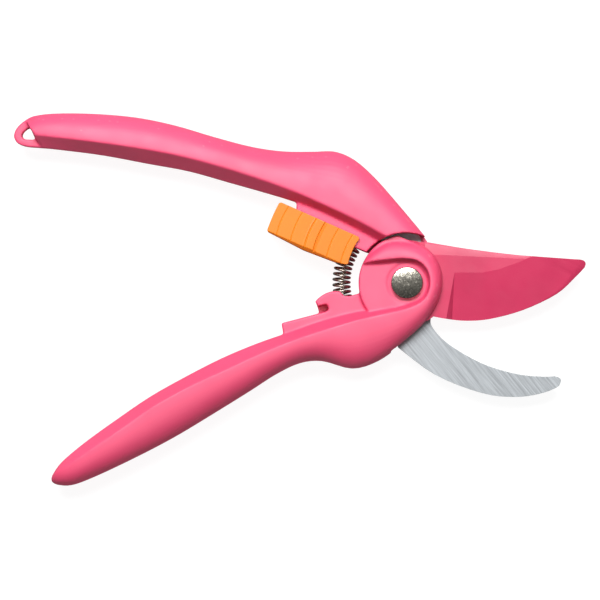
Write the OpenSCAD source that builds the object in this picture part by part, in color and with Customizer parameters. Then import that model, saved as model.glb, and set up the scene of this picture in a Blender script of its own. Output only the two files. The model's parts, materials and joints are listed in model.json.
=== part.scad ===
// Bypass hand snips for flowers and light garden work: two crossing levers on one pivot bolt.
// Each lever is a moulded handle with a flat steel blade set into it. A coil spring opens the
// levers, and a sliding thumb lock on the upper handle holds the lower handle's hook when closed.
// Millimetres. The pivot axis is +Z, and z = 0 is the plane the tool lies on. +X points along
// the blades, and +Y is the side of the upper handle. Modelled with the levers fully open.

/* [Handles] */
// overall thickness of both handles
handle_t = 18; // [16:0.5:20]
// thickness of the lock rail and of the hook plate
core_t = 8.6; // [8.2:0.1:9.2]
// thickness of the hanging plate at the end of the upper handle
hang_t = 4.2; // [3:0.1:6]
// roundness of the palm side (higher is boxier)
palm_round = 2.5; // [2:0.1:3.2]

/* [Pivot] */
// shank radius of the pivot bolt
bolt_r = 3; // [2.5:0.05:3.5]
// head radius of the pivot bolt
head_r = 5.3; // [5:0.1:6]
// radial play between the shank and the levers
pivot_play = 0.05; // [0.02:0.01:0.1]
// radius of the front cheek of the lower handle
cheek_r = 16; // [15:0.1:16.2]
// radius of the rear cheek of the upper handle
rear_r = 14; // [13:0.1:14.2]

/* [Blades] */
// thickness of each blade
blade_t = 2.8; // [2.4:0.1:3]
// gap between the sliding faces of the blades
blade_gap = 0.1; // [0.04:0.02:0.2]
// flat left at the cutting edge
edge_t = 0.3; // [0.2:0.05:0.6]

/* [Spring] */
// mean radius of the coils
coil_r = 2.65; // [2.4:0.05:2.8]
// wire diameter
wire_d = 0.85; // [0.6:0.05:0.9]
// number of turns
turns = 16.5; // [14:0.5:18]
// distance of the spring's centreline from the pivot axis
spring_r = 21.6; // [21:0.1:22]

/* [Lock] */
// length of the thumb lock along its travel
lock_l = 29.2; // [26:0.1:29.4]
// width of the thumb lock across its travel
lock_w = 10.3; // [9:0.1:10.4]
// wall thickness of the thumb lock's side plates
lock_wall = 1.75; // [1.4:0.05:2]

/* [Hidden] */
$fn = 96;
mid = handle_t / 2;
core_h = core_t / 2;
cut_lo = mid + blade_gap / 2;
cut_hi = cut_lo + blade_t;
count_hi = mid - blade_gap / 2;
count_lo = count_hi - blade_t;
cheek_lo = cut_hi + 0.15;
rear_hi = count_lo - 0.15;
floor_z = 14.8;
head_z = floor_z - 0.35;
nut_floor = 3.8;
washer_t = 0.5;
bore_r = bolt_r + pivot_play;
sweep_r = cheek_r + 0.6;
slot = 0.05;
lock_ang = -23.9;
lock_c = [-30.95, 16.3];
lock_lo = -lock_w / 2 - 1.15;
hook_cut = 5.2;
hook_cut_rear = 1.6;
seat_a = 130;
seat_b = 208;

// Half sections of the upper handle from its end wall to its nose:
// [palm x, y, ridge x, y, inner edge x, y, ridge half height, inner edge half height]
upper_run = [
    [-126.5, 53.9, -123.4, 49.0, -121.2, 45.0, 6.6, 2.2],
    [-121.0, 56.2, -116.0, 48.1, -114.0, 44.2, 7.4, 1.8],
    [-107.0, 56.5, -102.0, 46.4, -101.0, 42.5, 8.4, 1.5],
    [-91.0, 55.3, -86.5, 44.1, -86.0, 39.7, 8.9, 1.5],
    [-77.4, 52.6, -73.5, 41.5, -72.5, 37.2, 8.95, 1.7],
    [-64.1, 48.7, -60.5, 38.0, -59.2, 33.5, 8.95, 2.4],
    [-51.5, 45.4, -48.0, 34.0, -46.7, 30.0, 8.95, 3.5],
    [-41.0, 43.9, -37.0, 30.0, -37.5, 27.2, 8.95, 4.2],
    [-31.0, 43.8, -27.5, 25.8, -28.8, 24.0, 8.95, 4.3],
    [-23.7, 43.8, -19.5, 22.1, -20.5, 20.0, 8.95, 4.3],
    [-17.2, 41.0, -13.2, 18.9, -14.5, 16.8, 8.95, 4.3],
    [-10.6, 35.2, -7.1, 15.5, -9.4, 14.1, 8.9, 4.3],
    [-4.1, 27.9, -1.2, 12.6, -3.6, 11.2, 8.8, 4.3],
    [2.4, 20.2, 3.6, 10.2, 1.4, 8.8, 8.6, 4.3],
    [7.2, 14.4, 6.6, 8.6, 5.4, 7.4, 8.2, 4.3]
];

// Half sections of the lower handle from its end, along the handle, then round the pivot
// over the front cheek to the cheek's left edge.
lower_run = [
    [-118.2, -66.1, -118.1, -64.8, -117.8, -63.8, 3.0, 1.6],
    [-116.4, -67.2, -116.4, -62.8, -115.6, -60.6, 5.6, 3.0],
    [-111.5, -67.4, -112.0, -60.0, -112.2, -57.3, 7.4, 4.0],
    [-104.0, -64.7, -104.6, -55.0, -105.6, -52.0, 8.6, 4.3],
    [-90.6, -58.4, -94.5, -48.2, -96.4, -45.4, 8.95, 4.3],
    [-77.2, -51.4, -83.5, -40.6, -85.4, -37.9, 8.95, 4.3],
    [-63.9, -43.4, -71.5, -34.0, -73.1, -31.0, 8.95, 4.3],
    [-52.3, -36.2, -60.0, -28.8, -61.5, -25.1, 8.95, 4.3],
    [-43.4, -30.5, -48.5, -23.4, -49.8, -20.2, 8.95, 4.3],
    [-35.5, -26.8, -37.0, -18.8, -38.0, -16.1, 8.95, 4.3],
    [-28.0, -26.1, -28.0, -15.8, -28.9, -12.9, 8.95, 4.3],
    [-18.0, -28.6, -18.0, -12.7, -18.8, -10.2, 8.95, 4.3],
    [-9.4, -26.1, -8.5, -10.4, -9.4, -8.6, 8.8, 4.3],
    [-1.5, -20.4, 0.4, -8.3, -0.4, -7.0, 8.7, 4.3],
    [6.8, -12.7, 5.6, -5.4, 4.7, -5.2, 8.6, 4.3],
    [11.4, -4.4, 7.6, -0.6, 6.8, -1.0, 8.6, 4.3],
    [12.0, 3.2, 6.6, 4.4, 5.7, 3.6, 8.6, 4.3],
    [8.9, 10.0, 3.4, 7.4, 3.0, 5.9, 8.6, 4.3],
    [2.6, 14.2, -1.6, 8.2, -2.0, 6.2, 8.6, 4.3],
    [-5.2, 15.0, -7.6, 7.7, -7.8, 5.6, 8.4, 4.3],
    [-11.0, 11.4, -11.6, 7.2, -11.8, 5.3, 7.8, 4.3],
    [-13.6, 8.2, -14.3, 6.6, -14.6, 5.0, 6.8, 4.3]
];

function blend4(a, b, c, d, t) =
    0.5 * (2 * b + (c - a) * t + (2 * a - 5 * b + 4 * c - d) * t * t
           + (3 * b - a - 3 * c + d) * t * t * t);

function smooth_run(s, n) = [
    for (i = [0 : len(s) - 2])
        for (k = [0 : n - 1])
            blend4(s[max(i - 1, 0)], s[i], s[i + 1], s[min(i + 2, len(s) - 1)], k / n),
    s[len(s) - 1]
];

// Blade outlines: each run is a smooth curve, and runs meet at corners.
spine_run = [[6.2, 13.7], [20.6, 11.3], [38.0, 9.2], [56.0, 7.9]];
tip_run = [[56.0, 7.9], [57.8, 7.8], [59.2, 7.4], [59.8, 6.4], [59.4, 5.1]];
edge_run = [[59.4, 5.1], [56.5, 2.1], [50.1, -3.7], [39.0, -9.0], [27.9, -12.0],
            [19.9, -12.6], [13.6, -12.0], [8.6, -11.1]];
throat_run = [[8.3, -11.2], [8.5, -14.4], [13.7, -20.1], [25.2, -26.8], [37.0, -30.4],
              [46.2, -31.3], [49.6, -31.1]];
nose_run = [[49.6, -31.1], [51.2, -31.7], [51.5, -32.9], [50.2, -34.8], [44.2, -37.0],
            [36.0, -38.0], [25.2, -36.7], [9.8, -30.7], [-2.6, -21.6]];

// crown height at fraction t of the way from the ridge to the palm edge
function crown(h, t) = h * pow(1 - pow(t, palm_round), 1 / 2.1);

crown_t = [0, 0.1, 0.2, 0.32, 0.44, 0.55, 0.65, 0.74, 0.82, 0.89, 0.945, 0.98];
function half_section(s) = concat(
    [[s[4], s[5], s[7]]],
    [for (t = crown_t) [
        s[2] + (s[0] - s[2]) * t,
        s[3] + (s[1] - s[3]) * t,
        crown(s[6], t)]]
);
function full_section(s) = let (h = half_section(s), n = len(h)) concat(
    h,
    [[s[0], s[1], 0]],
    [for (i = [n - 1 : -1 : 0]) [h[i][0], h[i][1], -h[i][2]]]
);

// closed skin through a list of sections with equal point counts, with fanned end caps
module skin(secs) {
    n = len(secs);
    m = len(secs[0]);
    pts = [for (sec = secs) for (p = sec) p];
    side_a = [for (i = [0 : n - 2]) for (j = [0 : m - 1])
        [i * m + j, i * m + (j + 1) % m, (i + 1) * m + j]];
    side_b = [for (i = [0 : n - 2]) for (j = [0 : m - 1])
        [i * m + (j + 1) % m, (i + 1) * m + (j + 1) % m, (i + 1) * m + j]];
    cap_a = [for (j = [1 : m - 2]) [0, j + 1, j]];
    cap_b = [for (j = [1 : m - 2]) [(n - 1) * m, (n - 1) * m + j, (n - 1) * m + j + 1]];
    polyhedron(points = pts, faces = concat(side_a, side_b, cap_a, cap_b));
}

// side is 1 when the palm edge lies to the left of the run, and -1 when it lies to the right
module run_body(run, side) {
    skin([for (s = run) let (q = full_section(s), n = len(q))
        [for (i = [0 : n - 1]) let (p = q[side > 0 ? i : n - 1 - i]) [p[0], p[1], p[2] + mid]]]);
}

module slab(pts, z0, z1) {
    translate([0, 0, z0])
        linear_extrude(height = z1 - z0)
            polygon(pts);
}

module post(r, z0, z1) {
    translate([0, 0, z0])
        cylinder(r = r, h = z1 - z0);
}

// cylinder lying in the mid plane, from one point of the spring's arc to another
module spring_pocket(a0, a1) {
    p = spring_r * [cos(a0), sin(a0)];
    q = spring_r * [cos(a1), sin(a1)];
    d = q - p;
    translate([p[0], p[1], mid])
        rotate([0, 90, atan2(d[1], d[0])])
            cylinder(r = coil_r + wire_d / 2 + 0.45, h = norm(d), $fn = 48);
}

// frame of the thumb lock: u towards the pivot, v towards the upper handle
module lock_frame() {
    translate([lock_c[0], lock_c[1], mid])
        rotate([0, 0, lock_ang])
            children();
}

module brick(u0, u1, v0, v1, z0, z1) {
    translate([u0, v0, z0])
        cube([u1 - u0, v1 - v0, z1 - z0]);
}

counter_tang = [
    [-7.6, 12.0], [-10.6, 20.6], [-19.6, 28.2], [-33.0, 33.6],
    [-32.0, 38.0], [-14.0, 32.2], [-3.0, 23.0], [4.6, 15.4], [6, 8]
];
cutting_tang = [
    [-9.4, -10.9], [-17.0, -15.6], [-30.0, -18.6], [-45.0, -24.0],
    [-43.0, -28.0], [-30.0, -23.8], [-18.0, -25.0], [-10.0, -23.4],
    [-2.2, -19.0], [7.4, -11.0], [4, 0]
];

module upper_handle() {
    color([0.95, 0.42, 0.56])
    difference() {
        union() {
            run_body(smooth_run(upper_run, 4), 1);
            post(rear_r, 0, rear_hi);
            // hanging plate
            slab(smooth_run([[-119.5, 44.8], [-122.2, 45.0], [-126.6, 45.4], [-129.4, 46.5],
                             [-130.6, 48.6], [-130.1, 50.8], [-128.3, 53.0], [-125.0, 55.2],
                             [-121.5, 56.0]], 4), mid - hang_t / 2, mid + hang_t / 2);
            // lock rail and spring seat
            slab([[-36.6, 28.4], [-36.6, 24.6], [-39.5, 21.6], [-39.6, 17.9],
                  [-28.9, 13.1], [-27.2, 16.6], [-23.2, 16.4], [-19.4, 14.2],
                  [-17.4, 11.8], [-13.2, 10.1], [-9.0, 9.0], [-4.0, 14.0],
                  [-12.0, 20.0], [-26.0, 26.0]], mid - core_h, mid + core_h);
        }
        // room for the counter blade's hub and for the lower handle's cheek to turn
        translate([-0.3, 0, 0])
            post(sweep_r, rear_hi, handle_t + 1);
        slab(counter_tang, count_lo - slot, count_hi + slot);
        // pivot bore and nut recess
        post(bore_r, -1, handle_t);
        post(7, -1, nut_floor);
        // hanging hole
        slab(concat(smooth_run([[-125.6, 51.6], [-127.2, 50.5], [-128.0, 49.0], [-127.2, 47.9],
                                [-125.4, 47.7], [-123.4, 47.6]], 4), [[-124.9, 51.0]]), 0, handle_t);
        // seat for the return spring
        spring_pocket(seat_a - 1.5, seat_a + 18);
        // grooves that guide the thumb lock
        for (s = [-1, 1])
            lock_frame()
                brick(-7.2, 10.2, 2.5, 4.3, s * core_h - 0.9, s * core_h + 0.9);
    }
}

module counter_blade() {
    color([0.74, 0.76, 0.78])
    difference() {
        union() {
            post(rear_r, count_lo, count_hi);
            slab(counter_tang, count_lo, count_hi);
            slab(concat([[2, -2]], smooth_run(throat_run, 4), smooth_run(nose_run, 4),
                        [[-6.4, -12.4]]), count_lo, count_hi);
        }
        post(bore_r, 0, handle_t);
        for (p = [[-13.5, 28.6], [-24.5, 33.2]])
            translate([p[0], p[1], 0])
                post(1.6, 0, handle_t);
    }
}

module cutting_blade() {
    color([0.86, 0.25, 0.41])
    difference() {
        union() {
            post(rear_r + 0.3, cut_lo, cut_hi);
            slab(cutting_tang, cut_lo, cut_hi);
            slab(concat([[3, 13.6]], smooth_run(spine_run, 4), smooth_run(tip_run, 3),
                        smooth_run(edge_run, 4), [[0, -8]]), cut_lo, cut_hi);
        }
        post(bore_r, 0, handle_t);
        for (p = [[-14.0, -19.6], [-27.0, -21.4]])
            translate([p[0], p[1], 0])
                post(1.6, 0, handle_t);
        // ground bevel on the front face, a steeper one along the tip's edge, and a rolled spine
        ruled_cut(bevel_rows, cut_hi, cut_lo + edge_t - 0.45);
        ruled_cut(tip_rows, cut_lo + edge_t + 1.74, cut_lo + edge_t - 0.58);
        shoulder_ramp();
        spine_cut();
    }
}

// Each row: start of the bevel on the face x, y, then a point past the edge x, y, and how much
// thicker than the root part the bevel leaves the edge there.
bevel_rows = [
    [15.9, 3.4, 15.0, -15.0, 0],
    [20.0, 3.6, 20.0, -15.4, 0],
    [25.0, 3.4, 28.6, -14.7, 0],
    [31.6, 4.8, 40.2, -11.4, 0.12],
    [37.7, 7.0, 51.7, -5.6, 0.4],
    [42.9, 9.6, 60.6, 2.2, 0.7],
    [52.0, 12.2, 64.0, 7.4, 0.8]
];
// Each row: a point inside the edge x, y, then one outside it x, y.
tip_rows = [
    [27.3, -9.1, 28.1, -13.0],
    [37.9, -6.3, 39.4, -10.0],
    [48.2, -1.2, 50.6, -4.4],
    [54.0, 4.5, 56.9, 1.6],
    [56.6, 7.2, 60.2, 5.0],
    [57.4, 10.0, 61.0, 8.8]
];
// Each row: a point on the face x, y, and the distance from it to just past the spine.
spine_rows = [
    [5.6, 9.6, 5.0],
    [20.2, 7.8, 4.4],
    [32.0, 7.4, 3.2],
    [44.0, 8.4, 1.0]
];

// cuts away everything above a ruled surface that joins the rows' two points
module ruled_cut(rows, in_h, out_h) {
    skin([for (r = smooth_run(rows, 4)) [
        [r[2], r[3], out_h + (len(r) > 4 ? r[4] : 0)],
        [r[2], r[3], cut_hi + 4],
        [r[0], r[1], cut_hi + 4],
        [r[0], r[1], in_h]
    ]]);
}

// sloped end of the ground bevel, widening from the face to the edge
module shoulder_ramp() {
    skin([for (r = [[15.85, 3.5, 12.6, -15, cut_hi], [15.95, 3.4, 15.2, -15, cut_lo + edge_t - 0.4]]) [
        [r[2], r[3], r[4]],
        [r[2], r[3], cut_hi + 4],
        [r[0], r[1], cut_hi + 4],
        [r[0], r[1], cut_hi]
    ]]);
}

// Cuts the front face down towards the spine in five facets, each steeper than the one before.
// Each pair in the list is a share of the row's distance, and the drop there as a share of it.
module spine_cut() {
    skin([for (r = smooth_run(spine_rows, 4)) let (d = r[2]) concat(
        [[r[0] + 0.14 * d, r[1] + d, cut_hi + 4]],
        [for (q = [[1, 0.14], [0.85, 0.105], [0.7, 0.075], [0.5, 0.043], [0.3, 0.018], [0, 0]])
            [r[0] + 0.14 * d * q[0], r[1] + d * q[0], cut_hi - d * q[1]]],
        [[r[0], r[1], cut_hi + 4]]
    )]);
}

module pivot_bolt() {
    color([0.72, 0.71, 0.66])
    rotate_extrude()
        polygon(concat(
            [[0, 0.6], [bolt_r - 0.4, 0.6], [bolt_r, 1.0], [bolt_r, head_z + 0.05],
             [head_r - 0.3, head_z + 0.05], [head_r, head_z + 0.35], [head_r, head_z + 1.0]],
            [for (a = [12 : 12 : 84]) [head_r * cos(a), head_z + 1.0 + 1.5 * sin(a)]],
            [[0, head_z + 2.5]]
        ));
}

module pivot_washer() {
    color([0.6, 0.6, 0.62])
    difference() {
        post(6.2, nut_floor - washer_t, nut_floor);
        post(bolt_r + 0.1, 0, handle_t);
    }
}

module pivot_nut() {
    color([0.66, 0.66, 0.68])
    difference() {
        intersection() {
            translate([0, 0, 0.5])
                cylinder(r = 10 / sqrt(3), h = nut_floor - washer_t - 0.5, $fn = 6);
            post(5.6, 0, 20);
        }
        post(bolt_r, -1, handle_t);
    }
}

module return_spring() {
    steps = ceil(turns * 14);
    ring = 6;
    a0 = seat_a + 1.6;
    a1 = seat_b - 1.6;
    pts = [for (i = [0 : steps]) let (
        f = i / steps,
        a = a0 + (a1 - a0) * f,
        w = 360 * turns * f,
        c = spring_r * [cos(a), sin(a)],
        er = [cos(a), sin(a)],
        et = [-sin(a), cos(a)]
    ) for (k = [0 : ring - 1]) let (
        q = 360 * k / ring,
        rr = coil_r + wire_d / 2 * cos(q),
        s = wire_d / 2 * sin(q)
    ) [c[0] + er[0] * rr * cos(w) + et[0] * s,
       c[1] + er[1] * rr * cos(w) + et[1] * s,
       mid + rr * sin(w)]];
    skin_a = [for (i = [0 : steps - 1]) for (k = [0 : ring - 1])
        [i * ring + k, (i + 1) * ring + k, i * ring + (k + 1) % ring]];
    skin_b = [for (i = [0 : steps - 1]) for (k = [0 : ring - 1])
        [i * ring + (k + 1) % ring, (i + 1) * ring + k, (i + 1) * ring + (k + 1) % ring]];
    cap_a = [for (k = [1 : ring - 2]) [0, k, k + 1]];
    cap_b = [for (k = [1 : ring - 2]) [steps * ring, steps * ring + k + 1, steps * ring + k]];
    color([0.62, 0.58, 0.54])
        polyhedron(points = pts, faces = concat(skin_a, skin_b, cap_a, cap_b));
}

function arc_pts(c, r, a0, a1, n) = [
    for (i = [0 : n]) let (a = a0 + (a1 - a0) * i / n) [c[0] + r * cos(a), c[1] + r * sin(a)]
];
// u of an edge that bows away from the pivot, at height v
function bowed(u, r, v) = u + r - sqrt(r * r - v * v);

lock_u = lock_l / 2;
lock_v = lock_w / 2;
lock_outline = concat(
    arc_pts([-lock_u + 0.9, lock_v - 0.9], 0.9, 90, 170, 4),
    [for (v = [3, 1.5, 0, -1.5, -3]) [bowed(-lock_u - 0.15, 60, v), v]],
    arc_pts([-lock_u + 0.8, -lock_v + 0.4], 0.8, 190, 250, 3),
    [[-0.8, lock_lo], [10.4, lock_lo + 0.6]],
    arc_pts([lock_u - 1, -lock_v + 1], 0.9, 280, 350, 4),
    [for (v = [-3, -1.5, 0, 1.5, 3]) [bowed(lock_u - 0.55, 28, v), v]],
    arc_pts([lock_u - 0.9, lock_v - 0.9], 0.9, 5, 90, 4)
);

module lock_slider() {
    in_z = core_h + 0.15;
    out_z = in_z + lock_wall;
    color([0.97, 0.6, 0.2])
    lock_frame()
    difference() {
        union() {
            for (s = [-1, 1]) {
                z0 = s > 0 ? in_z : -out_z;
                slab(lock_outline, z0, z0 + lock_wall);
                // guide rib in the rail's groove
                g0 = s > 0 ? in_z - 0.9 : -in_z - 0.1;
                brick(-7, 6, 2.65, 4.15, g0, g0 + 1);
                // lug that enters the hook's notch
                l0 = s > 0 ? in_z - 1.15 : -in_z - 0.1;
                brick(0.5, 3, -4.2, -2.45, l0, l0 + 1.25);
            }
            brick(-lock_u + 1, -0.8, -4.0, -2.6, -in_z - 0.1, in_z + 0.1);
        }
        // bowed finger grooves across the front face
        for (u = [-11.5, -6.5, -1.5, 1.8, 6.6, 11.7])
            translate([u + 28, 0, out_z - (u == 1.8 ? 0.5 : 0.32)])
                difference() {
                    cylinder(r = 28.22, h = 2);
                    cylinder(r = 27.78, h = 5, center = true);
                }
        // raised thumb band: the face steps down on both sides of it
        translate([0, 0, out_z - 0.12]) {
            translate([-1.7 + 28, 0, 0])
                difference() {
                    cylinder(r = 60, h = 1);
                    cylinder(r = 28.2, h = 5, center = true);
                }
        }
        translate([2 + 28, 0, out_z - 0.12])
            cylinder(r = 27.8, h = 1);
        // bevels along the lower edges of both side plates
        for (s = [-1, 1])
            rotate([90, 0, 90])
                linear_extrude(height = lock_l + 4, center = true)
                    polygon([[-lock_v + 0.05, s * out_z], [-lock_v - 2, s * (out_z - 2.2)],
                             [-lock_v - 2, s * (out_z + 1)], [-lock_v + 0.05, s * (out_z + 1)]]);
    }
}

module lower_handle() {
    color([0.94, 0.4, 0.55])
    difference() {
        union() {
            run_body(smooth_run(lower_run, 4), -1);
            // floor of the cheek's recess, round on the side away from the blade
            intersection() {
                post(cheek_r, cheek_lo, floor_z);
                slab([[-20, -20], [-20, 20], [-6.0, 18.0], [-2.0, 15.2], [3.0, 13.2], [8.4, 9.4],
                      [11.2, 3.0], [10.6, -4.2], [6.0, -12.4], [-2.0, -19.4], [-12, -20]], 0, handle_t);
            }
            // hook plate with the spring seat
            slab([[-40.9, -17.4], [-41.6, -13.4], [-29.0, -10.1], [-29.5, -8.2],
                  [-30.3, -6.2], [-29.6, -5.3], [-28.2, -4.2], [-26.8, -3.4],
                  [-25.0, -2.8], [-23.3, -2.65], [-21.8, -3.0], [-21.0, -4.2],
                  [-19.1, -4.4], [-16.1, -3.6], [-13.0, -3.6], [-6.0, -9.0],
                  [-18.0, -14.0], [-30.0, -16.5], [-38.0, -19.0]], mid - core_h, mid + core_h);
        }
        // room behind the front cheek for the blades and the upper handle's rear cheek
        post(rear_r + 0.6, -1, cheek_lo);
        slab([[-9.6, -10.4], [-4.0, -26.0], [24.0, -40.0], [40.0, 0], [20.0, 30.0],
              [-16.4, 16.0], [-17.5, -2.0], [-14.2, -2.6]], -1, cheek_lo);
        slab(cutting_tang, cut_lo - slot, cheek_lo);
        // pivot bore and head counterbore
        post(bore_r, 0, handle_t + 1);
        post(6.9, head_z, handle_t + 1);
        // blind notch for the lock's lugs, on both faces
        for (z = [[-1, mid - core_h + hook_cut_rear], [mid + core_h - hook_cut, handle_t]])
            slab([[-31.5, -8.2], [-29.6, -7.7], [-26.5, -7.0], [-25.9, -8.5],
                  [-26.2, -9.3], [-29.0, -10.1], [-31.5, -10.8]], z[0], z[1]);
        // seat for the return spring
        spring_pocket(seat_b + 1, seat_b - 12);
        spring_pocket(seat_b - 8, seat_b - 28);
    }
}

upper_handle();
counter_blade();
pivot_bolt();
pivot_washer();
pivot_nut();
lock_slider();
return_spring();
lower_handle();
cutting_blade();
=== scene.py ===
import json
import math

import bmesh
import bpy
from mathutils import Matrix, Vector


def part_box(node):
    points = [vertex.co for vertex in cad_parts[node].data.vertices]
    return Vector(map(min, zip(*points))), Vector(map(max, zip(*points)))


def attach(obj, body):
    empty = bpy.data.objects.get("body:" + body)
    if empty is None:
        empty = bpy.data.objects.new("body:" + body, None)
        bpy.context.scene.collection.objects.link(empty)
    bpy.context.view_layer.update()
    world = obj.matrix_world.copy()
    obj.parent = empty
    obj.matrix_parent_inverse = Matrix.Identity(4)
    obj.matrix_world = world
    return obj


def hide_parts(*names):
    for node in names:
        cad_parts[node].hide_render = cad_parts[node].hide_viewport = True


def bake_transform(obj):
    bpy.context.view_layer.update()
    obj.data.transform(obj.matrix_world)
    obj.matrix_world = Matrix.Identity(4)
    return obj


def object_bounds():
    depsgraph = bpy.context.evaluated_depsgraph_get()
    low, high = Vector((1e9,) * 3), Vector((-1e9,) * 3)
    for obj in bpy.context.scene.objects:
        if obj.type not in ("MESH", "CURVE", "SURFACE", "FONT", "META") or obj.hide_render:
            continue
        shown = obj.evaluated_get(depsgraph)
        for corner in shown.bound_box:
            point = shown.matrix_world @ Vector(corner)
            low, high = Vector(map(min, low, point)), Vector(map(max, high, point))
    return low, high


MM = 0.001

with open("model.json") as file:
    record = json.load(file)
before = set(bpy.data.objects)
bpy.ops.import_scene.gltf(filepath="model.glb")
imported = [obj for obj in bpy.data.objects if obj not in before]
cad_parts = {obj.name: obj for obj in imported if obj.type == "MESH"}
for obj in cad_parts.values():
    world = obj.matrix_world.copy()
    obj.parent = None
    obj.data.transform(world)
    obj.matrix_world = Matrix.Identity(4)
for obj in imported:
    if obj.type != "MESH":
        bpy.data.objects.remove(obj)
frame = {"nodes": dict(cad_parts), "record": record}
cad_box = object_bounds()
scene = bpy.context.scene
joints = {j["name"]: j for j in frame["record"]["behaviour"]["joints"]}
pivot = Vector(joints["handle_pivot"]["pos_m"])
low, high = cad_box
centre = (low + high) / 2


# ---------------------------------------------------------------- shader tools
def new_material(name):
    mat = bpy.data.materials.new(name)
    mat.use_nodes = True
    tree = mat.node_tree
    tree.nodes.clear()
    out = tree.nodes.new("ShaderNodeOutputMaterial")
    bsdf = tree.nodes.new("ShaderNodeBsdfPrincipled")
    tree.links.new(bsdf.outputs["BSDF"], out.inputs["Surface"])
    return mat, tree, bsdf


def coords(tree, scale=(1, 1, 1), turn=0):
    """Object coordinates, turned about Z and then scaled."""
    tc = tree.nodes.new("ShaderNodeTexCoord")
    spin = tree.nodes.new("ShaderNodeMapping")
    spin.inputs["Rotation"].default_value = (0, 0, turn)
    tree.links.new(tc.outputs["Object"], spin.inputs["Vector"])
    stretch = tree.nodes.new("ShaderNodeMapping")
    stretch.inputs["Scale"].default_value = scale
    tree.links.new(spin.outputs["Vector"], stretch.inputs["Vector"])
    return stretch.outputs["Vector"]


def noise(tree, vector, scale, detail=2.0, rough=0.5):
    n = tree.nodes.new("ShaderNodeTexNoise")
    n.inputs["Scale"].default_value = scale
    n.inputs["Detail"].default_value = detail
    n.inputs["Roughness"].default_value = rough
    tree.links.new(vector, n.inputs["Vector"])
    return n.outputs["Fac"]


def remap(tree, value, lo, hi, to_lo, to_hi):
    n = tree.nodes.new("ShaderNodeMapRange")
    n.inputs["From Min"].default_value = lo
    n.inputs["From Max"].default_value = hi
    n.inputs["To Min"].default_value = to_lo
    n.inputs["To Max"].default_value = to_hi
    tree.links.new(value, n.inputs["Value"])
    return n.outputs["Result"]


def calc(tree, operation, *values):
    """A math node whose inputs are numbers or the outputs of other nodes."""
    n = tree.nodes.new("ShaderNodeMath")
    n.operation = operation
    for socket, value in zip(n.inputs, values):
        if isinstance(value, float):
            socket.default_value = value
        else:
            tree.links.new(value, socket)
    return n.outputs["Value"]


def two_tone(tree, fac, a, b):
    """Mixes two colours, each given as three numbers or as the output of another node."""
    n = tree.nodes.new("ShaderNodeMix")
    n.data_type = "RGBA"
    for key, value in (("A", a), ("B", b)):
        if isinstance(value, tuple):
            n.inputs[key].default_value = (*value, 1)
        else:
            tree.links.new(value, n.inputs[key])
    tree.links.new(fac, n.inputs["Factor"])
    return n.outputs["Result"]


def scaled(colour, factor):
    return tuple(min(1, c * factor) for c in colour)


def bump(tree, bsdf, height, strength, distance):
    n = tree.nodes.new("ShaderNodeBump")
    n.inputs["Strength"].default_value = strength
    n.inputs["Distance"].default_value = distance
    tree.links.new(height, n.inputs["Height"])
    tree.links.new(n.outputs["Normal"], bsdf.inputs["Normal"])


# ---------------------------------------------------------------- materials
def moulded_plastic(name, colour, rough=0.54, shift=0.05, gloss=0.5):
    """Satin moulded plastic: faint colour drift, fine spark texture, and sharp edges lightened, partly as
    rubbed wear and partly as a painted highlight along the ridges.
    """
    mat, tree, bsdf = new_material(name)
    v = coords(tree)
    drift = remap(tree, noise(tree, v, 38, 3), 0.35, 0.65, 0, 1)
    tone = two_tone(tree, drift, scaled(colour, 1 - shift), scaled(colour, 1 + shift))
    geo = tree.nodes.new("ShaderNodeNewGeometry")
    # Sharp edges are lightened a little: partly rubbed wear, partly a painted highlight line along the
    # ridges.
    edge = remap(tree, geo.outputs["Pointiness"], 0.55, 0.68, 0, 0.14)
    edge_wear_and_highlight = tuple(c + (1 - c) * 0.35 for c in colour)
    tree.links.new(two_tone(tree, edge, tone, edge_wear_and_highlight), bsdf.inputs["Base Color"])
    patches = noise(tree, v, 120, 3)
    tree.links.new(remap(tree, patches, 0.3, 0.7, rough - 0.05, rough + 0.06), bsdf.inputs["Roughness"])
    bsdf.inputs["Specular IOR Level"].default_value = gloss
    bsdf.inputs["Subsurface Weight"].default_value = 0.05
    bsdf.inputs["Subsurface Radius"].default_value = (0.0012, 0.0004, 0.0005)
    bump(tree, bsdf, noise(tree, v, 2600, 2, 0.6), strength=0.10, distance=0.06 * MM)
    return mat


def coated_steel(name, colour, lines_turn=1.25):
    """Sprayed non-stick coat over ground steel: slight orange peel and faint grinding lines."""
    mat, tree, bsdf = new_material(name)
    v = coords(tree)
    drift = remap(tree, noise(tree, v, 60, 3), 0.35, 0.65, 0, 1)
    tone = two_tone(tree, drift, scaled(colour, 0.95), scaled(colour, 1.05))
    tree.links.new(tone, bsdf.inputs["Base Color"])
    patches = noise(tree, v, 200, 2)
    tree.links.new(remap(tree, patches, 0.3, 0.7, 0.36, 0.46), bsdf.inputs["Roughness"])
    bsdf.inputs["Specular IOR Level"].default_value = 0.5
    peel = noise(tree, v, 900, 2)
    lines = noise(tree, coords(tree, (240, 3200, 240), lines_turn), 1, 2)
    bump(tree, bsdf, calc(tree, "ADD", peel, lines), strength=0.08, distance=0.05 * MM)
    return mat


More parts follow.
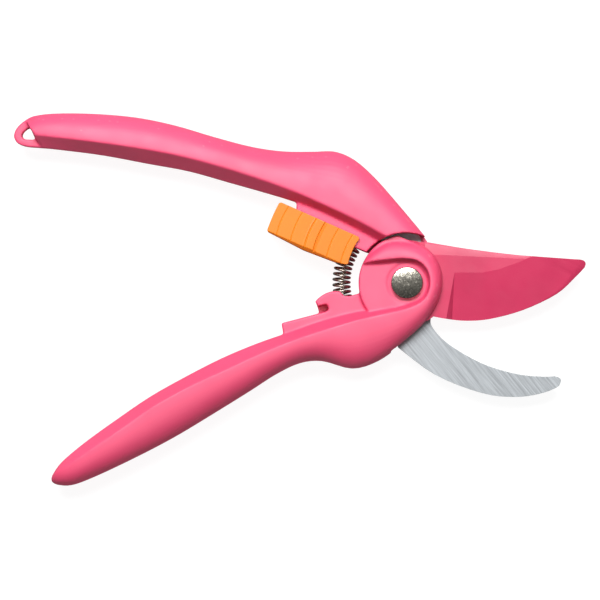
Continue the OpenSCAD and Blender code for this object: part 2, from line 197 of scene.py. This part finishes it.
def brushed_steel(name, colour, turn, rough=0.38, metal=0.5, contrast=0.16):
    """Ground steel with long fine scratches in one direction."""
    mat, tree, bsdf = new_material(name)
    fine = noise(tree, coords(tree, (110, 4600, 500), turn), 1, 4, 0.65)
    wide = noise(tree, coords(tree, (50, 2000, 300), turn + 0.02), 1, 3, 0.6)
    scratches = calc(tree, "MULTIPLY_ADD", fine, 0.6, calc(tree, "MULTIPLY", wide, 0.4))
    fac = remap(tree, scratches, 0.36, 0.64, 0, 1)
    tone = two_tone(tree, fac, scaled(colour, 1 - contrast), scaled(colour, 1 + contrast))
    tree.links.new(tone, bsdf.inputs["Base Color"])
    tree.links.new(remap(tree, scratches, 0.36, 0.64, rough - 0.07, rough + 0.08), bsdf.inputs["Roughness"])
    bsdf.inputs["Metallic"].default_value = metal
    bump(tree, bsdf, scratches, strength=0.18, distance=0.05 * MM)
    return mat


def bright_metal(name, colour, rough, mottled, grain=900):
    """Plated or bright metal with a lightly pitted, handled surface."""
    mat, tree, bsdf = new_material(name)
    pits = noise(tree, coords(tree), grain, 6, 0.75)
    fac = remap(tree, pits, 0.36, 0.6, 0, 1)
    tone = two_tone(tree, fac, scaled(colour, 1 - mottled * 0.5), colour)
    tree.links.new(tone, bsdf.inputs["Base Color"])
    tree.links.new(remap(tree, pits, 0.35, 0.65, rough, rough + 0.14), bsdf.inputs["Roughness"])
    bsdf.inputs["Metallic"].default_value = 1.0
    bump(tree, bsdf, pits, strength=0.14 * mottled, distance=0.08 * MM)
    return mat


PINK = (0.72, 0.055, 0.146)
LOWER_PINK = (PINK[0] * 0.99, PINK[1] * 0.98, PINK[2] * 0.98)
ORANGE = (0.78, 0.205, 0.004)
COUNTER_LINES = 0.87

grip_upper = moulded_plastic("pink_plastic_upper", PINK)
grip_lower = moulded_plastic("pink_plastic_lower", LOWER_PINK)
lock_mat = moulded_plastic("orange_plastic", ORANGE, rough=0.46, shift=0.04, gloss=0.45)
coat_mat = coated_steel("pink_blade_coat", (0.53, 0.032, 0.096))
counter_mat = brushed_steel("brushed_blade", (0.42, 0.445, 0.465), COUNTER_LINES)
bolt_mat = bright_metal("nickel_head", (0.49, 0.462, 0.395), rough=0.14, mottled=1.0, grain=1500)
zinc_mat = bright_metal("zinc_small_parts", (0.62, 0.62, 0.63), rough=0.3, mottled=0.3)
wire_mat = bright_metal("spring_wire", (0.40, 0.34, 0.29), rough=0.2, mottled=0.2)


# ---------------------------------------------------------------- mesh tools
WELD = 0.002 * MM
MERGE_ANGLE = math.radians(1)
BREAK_ANGLE = math.radians(35)
LEVEL_CREASE = math.radians(5.5)
SIDE_CREASE = math.radians(32)
NEAR_LEVEL = 0.9


def add_object(name, data):
    ob = bpy.data.objects.new(name, data)
    scene.collection.objects.link(ob)
    return ob


def shade_smooth(ob):
    ob.data.polygons.foreach_set("use_smooth", [True] * len(ob.data.polygons))
    ob.data.update()


def closed_copy(cad_node, name):
    """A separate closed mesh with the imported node's shape."""
    mesh = frame["nodes"][cad_node].data.copy()
    mesh.name = name
    mesh.materials.clear()
    bm = bmesh.new()
    bm.from_mesh(mesh)
    bmesh.ops.remove_doubles(bm, verts=bm.verts, dist=WELD)
    bm.to_mesh(mesh)
    bm.free()
    return add_object(name, mesh)


def bake_modifiers(ob):
    dg = bpy.context.evaluated_depsgraph_get()
    mesh = bpy.data.meshes.new_from_object(ob.evaluated_get(dg))
    ob.modifiers.clear()
    ob.data = mesh


def softened(ob, voxel, rounds, factor):
    """Rounds every edge a little, as a mould does, by a fine even remesh and smoothing."""
    m = ob.modifiers.new("even", "REMESH")
    m.mode = "VOXEL"
    m.voxel_size = voxel
    s = ob.modifiers.new("round", "SMOOTH")
    s.factor = factor
    s.iterations = rounds
    bake_modifiers(ob)
    shade_smooth(ob)
    return ob


def mark_creases(mesh):
    """Sharpens the creases. Between two near level faces a shallower one counts than elsewhere."""
    bm = bmesh.new()
    bm.from_mesh(mesh)
    for e in bm.edges:
        if len(e.link_faces) == 2:
            level = min(abs(f.normal.z) for f in e.link_faces) > NEAR_LEVEL
            e.smooth = e.calc_face_angle(0) < (LEVEL_CREASE if level else SIDE_CREASE)
    bm.to_mesh(mesh)
    bm.free()


def edged(ob, width):
    """Small machined edge breaks on a flat part."""
    bm = bmesh.new()
    bm.from_mesh(ob.data)
    bmesh.ops.dissolve_limit(bm, angle_limit=MERGE_ANGLE, verts=bm.verts, edges=bm.edges)
    bm.to_mesh(ob.data)
    bm.free()
    m = ob.modifiers.new("edge", "BEVEL")
    m.width = width
    m.segments = 2
    m.limit_method = "ANGLE"
    m.angle_limit = BREAK_ANGLE
    bake_modifiers(ob)
    shade_smooth(ob)
    mark_creases(ob.data)
    w = ob.modifiers.new("face_weight", "WEIGHTED_NORMAL")
    w.keep_sharp = True
    w.weight = 100
    bake_modifiers(ob)
    return ob


def finish_piece(ob, material, body, slot, *cad_nodes):
    ob.data.materials.clear()
    ob.data.materials.append(material)
    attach(ob, body)
    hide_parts(*cad_nodes)


# ---------------------------------------------------------------- handles and lock
upper = softened(closed_copy("upper_handle", "upper_grip_moulding"), 0.375 * MM, rounds=4, factor=0.5)
finish_piece(upper, grip_upper, "upper_lever", "upper_grip", "upper_handle")
lower = softened(closed_copy("lower_handle", "lower_grip_moulding"), 0.365 * MM, rounds=4, factor=0.5)
finish_piece(lower, grip_lower, "lower_lever", "lower_grip", "lower_handle")
lock = softened(closed_copy("lock_slider", "thumb_lock_moulding"), 0.145 * MM, rounds=1, factor=0.45)
finish_piece(lock, lock_mat, "thumb_lock", "lock_plastic", "lock_slider")

# ---------------------------------------------------------------- blades
cutter = edged(closed_copy("cutting_blade", "cutting_blade_coated"), 0.12 * MM)
finish_piece(cutter, coat_mat, "lower_lever", "blade_coat", "cutting_blade")
counter = edged(closed_copy("counter_blade", "counter_blade_ground"), 0.15 * MM)
finish_piece(counter, counter_mat, "upper_lever", "counter_steel", "counter_blade")

# ---------------------------------------------------------------- bolt, washer, nut
SHANK_TO_HEAD = 3 / 5.3
SHANK_CHAMFER = 0.4 * MM
HEAD_HEIGHT = 2.45 * MM
CROWN = 0.42 * MM
ROLL = 0.42 * MM
ROLL_STEPS = (-30, 0, 20, 40, 58, 72, 82)
DOME_STEPS = 24
DIMPLE = 0.05 * MM
DIMPLE_R = 0.7 * MM


def bolt_profile(end, top, head_r):
    """(radius, height) points from the shank's end, round the rim and over the low dome."""
    seat = top - HEAD_HEIGHT
    shank_r = head_r * SHANK_TO_HEAD
    dome_r = head_r - ROLL
    shank = [(0, end), (shank_r - SHANK_CHAMFER, end), (shank_r, end + SHANK_CHAMFER), (shank_r, seat)]
    underside = [(head_r - 0.35 * MM, seat), (head_r - 0.1 * MM, seat + 0.12 * MM)]
    rim = [(dome_r + ROLL * math.cos(a), top - CROWN - ROLL + ROLL * math.sin(a))
           for a in (math.radians(d) for d in ROLL_STEPS)]
    dome = []
    for k in range(1, DOME_STEPS + 1):
        r = dome_r * math.cos(math.radians(90 * k / DOME_STEPS))
        z = top - CROWN * (r / dome_r) ** 2 - DIMPLE * math.exp(-(r / DIMPLE_R) ** 2)
        dome.append((r, z))
    return shank + underside + rim + dome


def lathe(name, profile, steps=96):
    """Solid of revolution about the pivot axis from (radius, height) points."""
    bm = bmesh.new()
    rings = []
    for r, z in profile:
        if r < 1e-7:
            rings.append([bm.verts.new((pivot.x, pivot.y, z))])
            continue
        rings.append([bm.verts.new((pivot.x + r * math.cos(a), pivot.y + r * math.sin(a), z))
                      for a in (2 * math.pi * i / steps for i in range(steps))])
    for under, over in zip(rings, rings[1:]):
        for i in range(steps):
            j = (i + 1) % steps
            if len(under) == 1:
                bm.faces.new((under[0], over[j], over[i]))
            elif len(over) == 1:
                bm.faces.new((under[i], under[j], over[0]))
            else:
                bm.faces.new((under[i], under[j], over[j], over[i]))
    mesh = bpy.data.meshes.new(name)
    bmesh.ops.recalc_face_normals(bm, faces=bm.faces)
    bm.to_mesh(mesh)
    bm.free()
    ob = add_object(name, mesh)
    shade_smooth(ob)
    return ob


bolt_lo, bolt_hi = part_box("pivot_bolt")
bolt = lathe("pivot_bolt_head", bolt_profile(bolt_lo.z, bolt_hi.z, (bolt_hi.x - bolt_lo.x) / 2))
bolt.data.set_sharp_from_angle(angle=math.radians(50))
finish_piece(bolt, bolt_mat, "upper_lever", "bolt_plate", "pivot_bolt")
washer = edged(closed_copy("pivot_washer", "pivot_washer_disc"), 0.08 * MM)
finish_piece(washer, zinc_mat, "upper_lever", "washer_steel", "pivot_washer")
nut = edged(closed_copy("pivot_nut", "pivot_nut_hex"), 0.12 * MM)
finish_piece(nut, zinc_mat, "upper_lever", "nut_steel", "pivot_nut")

# ---------------------------------------------------------------- return spring
# The coils follow an arc about the pivot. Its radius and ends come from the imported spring's points.
TURNS = 16.5
PER_TURN = 30
SIDES = 12
UP = Vector((0, 0, 1))

points = [v.co - pivot for v in frame["nodes"]["return_spring"].data.vertices]
angles = [math.atan2(p.y, p.x) % (2 * math.pi) for p in points]
radii = [math.hypot(p.x, p.y) for p in points]
wire_r = 0.425 * MM
arc_r = (min(radii) + max(radii)) / 2
coil_r = (max(radii) - min(radii)) / 2 - wire_r
ang_lo = min(angles) + wire_r / arc_r
ang_hi = max(angles) - wire_r / arc_r
spring_lo, spring_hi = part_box("return_spring")
mid_z = (spring_lo.z + spring_hi.z) / 2


def outward(angle):
    return Vector((math.cos(angle), math.sin(angle), 0))


def spring_mesh(name):
    """Round wire wound evenly along the arc, from one end to the other."""
    steps = int(TURNS * PER_TURN)
    bm = bmesh.new()
    rings = []
    for i in range(steps + 1):
        f = i / steps
        turn = 2 * math.pi * TURNS * f
        ang = ang_lo + (ang_hi - ang_lo) * f
        along = outward(ang + math.pi / 2)
        middle = pivot + outward(ang) * arc_r + UP * (mid_z - pivot.z)
        radial = outward(ang) * math.cos(turn) + UP * math.sin(turn)
        ring = []
        for k in range(SIDES):
            q = 2 * math.pi * k / SIDES
            ring.append(bm.verts.new(middle + radial * (coil_r + wire_r * math.cos(q))
                                     + along * (wire_r * math.sin(q))))
        rings.append(ring)
    for a, b in zip(rings, rings[1:]):
        for k in range(SIDES):
            j = (k + 1) % SIDES
            bm.faces.new((a[k], a[j], b[j], b[k]))
    bm.faces.new(rings[0])
    bm.faces.new(rings[-1])
    bmesh.ops.recalc_face_normals(bm, faces=bm.faces)
    mesh = bpy.data.meshes.new(name)
    bm.to_mesh(mesh)
    bm.free()
    ob = add_object(name, mesh)
    shade_smooth(ob)
    return ob


spring = spring_mesh("return_spring_coil")
spring.data.materials.append(wire_mat)
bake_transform(spring)
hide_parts("return_spring")


# ---------------------------------------------------------------- floor
FLOOR_HALF = 1.6
FLOOR_GAP = 0.2 * MM
FLOOR_GLOW = 0.93


def floor_sheet():
    """Pale floor. It glows to near white, and it is left out of what glossy surfaces reflect."""
    bm = bmesh.new()
    for x, y in ((-1, -1), (1, -1), (1, 1), (-1, 1)):
        bm.verts.new((x * FLOOR_HALF, y * FLOOR_HALF, low.z - FLOOR_GAP))
    bm.verts.ensure_lookup_table()
    bm.faces.new(bm.verts)
    mesh = bpy.data.meshes.new("floor")
    bm.to_mesh(mesh)
    bm.free()
    ob = add_object("floor", mesh)
    mat, tree, bsdf = new_material("pale_floor")
    fac = remap(tree, noise(tree, coords(tree), 3, 2), 0.3, 0.7, 0, 1)
    tree.links.new(two_tone(tree, fac, (0.12, 0.12, 0.12), (0.14, 0.14, 0.14)), bsdf.inputs["Base Color"])
    bsdf.inputs["Roughness"].default_value = 0.9
    bsdf.inputs["Specular IOR Level"].default_value = 0.1
    bsdf.inputs["Emission Color"].default_value = (1, 1, 1, 1)
    bsdf.inputs["Emission Strength"].default_value = FLOOR_GLOW
    ob.data.materials.append(mat)
    ob.visible_glossy = False


floor_sheet()


# ---------------------------------------------------------------- light
def area(name, place, size, power):
    """A rectangular lamp at place, aimed at the middle of the tool."""
    data = bpy.data.lights.new(name, "AREA")
    data.shape = "RECTANGLE"
    data.size, data.size_y = size
    data.energy = power
    ob = add_object(name, data)
    ob.location = place
    ob.rotation_mode = "QUATERNION"
    ob.rotation_quaternion = (centre - Vector(place)).to_track_quat("-Z", "Y")
    return ob


def studio_world():
    """Soft light from all round, brightest from +Y and dim from -Y."""
    world = bpy.data.worlds.new("studio")
    world.use_nodes = True
    scene.world = world
    tree = world.node_tree
    tree.nodes.clear()
    out = tree.nodes.new("ShaderNodeOutputWorld")
    sky = tree.nodes.new("ShaderNodeBackground")
    sky.inputs["Color"].default_value = (1, 1, 1, 1)
    where = tree.nodes.new("ShaderNodeTexCoord")
    side = tree.nodes.new("ShaderNodeVectorMath")
    side.operation = "DOT_PRODUCT"
    side.inputs[1].default_value = (0, 0.98, 0.2)
    tree.links.new(where.outputs["Generated"], side.inputs[0])
    strength = remap(tree, side.outputs["Value"], -0.25, 1.0, 0.03, 0.6)
    tree.links.new(strength, sky.inputs["Strength"])
    tree.links.new(sky.outputs[0], out.inputs["Surface"])


area("key", (centre.x - 0.08, 0.52, 0.97), (0.8, 0.42), 18.5)
# An overhead sheet that only puts a soft sheen on the two grips, and lights no other piece.
sheen = area("overhead_sheen", (centre.x + 0.3, centre.y, 1.3), (1.5, 1.5), 23)
sheen.visible_diffuse = False
grips = bpy.data.collections.new("grips")
grips.objects.link(upper)
grips.objects.link(lower)
sheen.light_linking.receiver_collection = grips
studio_world()

# ---------------------------------------------------------------- camera
# Straight down from DISTANCE above the tool's middle height, seeing FIELD from side to side there.
DISTANCE = 0.95
FIELD = 0.200
SENSOR = 36
AIM_X = pivot.x - 35.43 * MM
AIM_Y = pivot.y - 5.67 * MM

cam_data = bpy.data.cameras.new("camera")
cam_data.sensor_width = SENSOR
cam_data.lens = SENSOR * DISTANCE / FIELD
cam_data.clip_start = 0.05
camera = add_object("camera", cam_data)
camera.location = (AIM_X, AIM_Y, centre.z + DISTANCE)
camera.rotation_euler = (0, 0, 0)
scene.camera = camera
scene.view_settings.view_transform = "Standard"
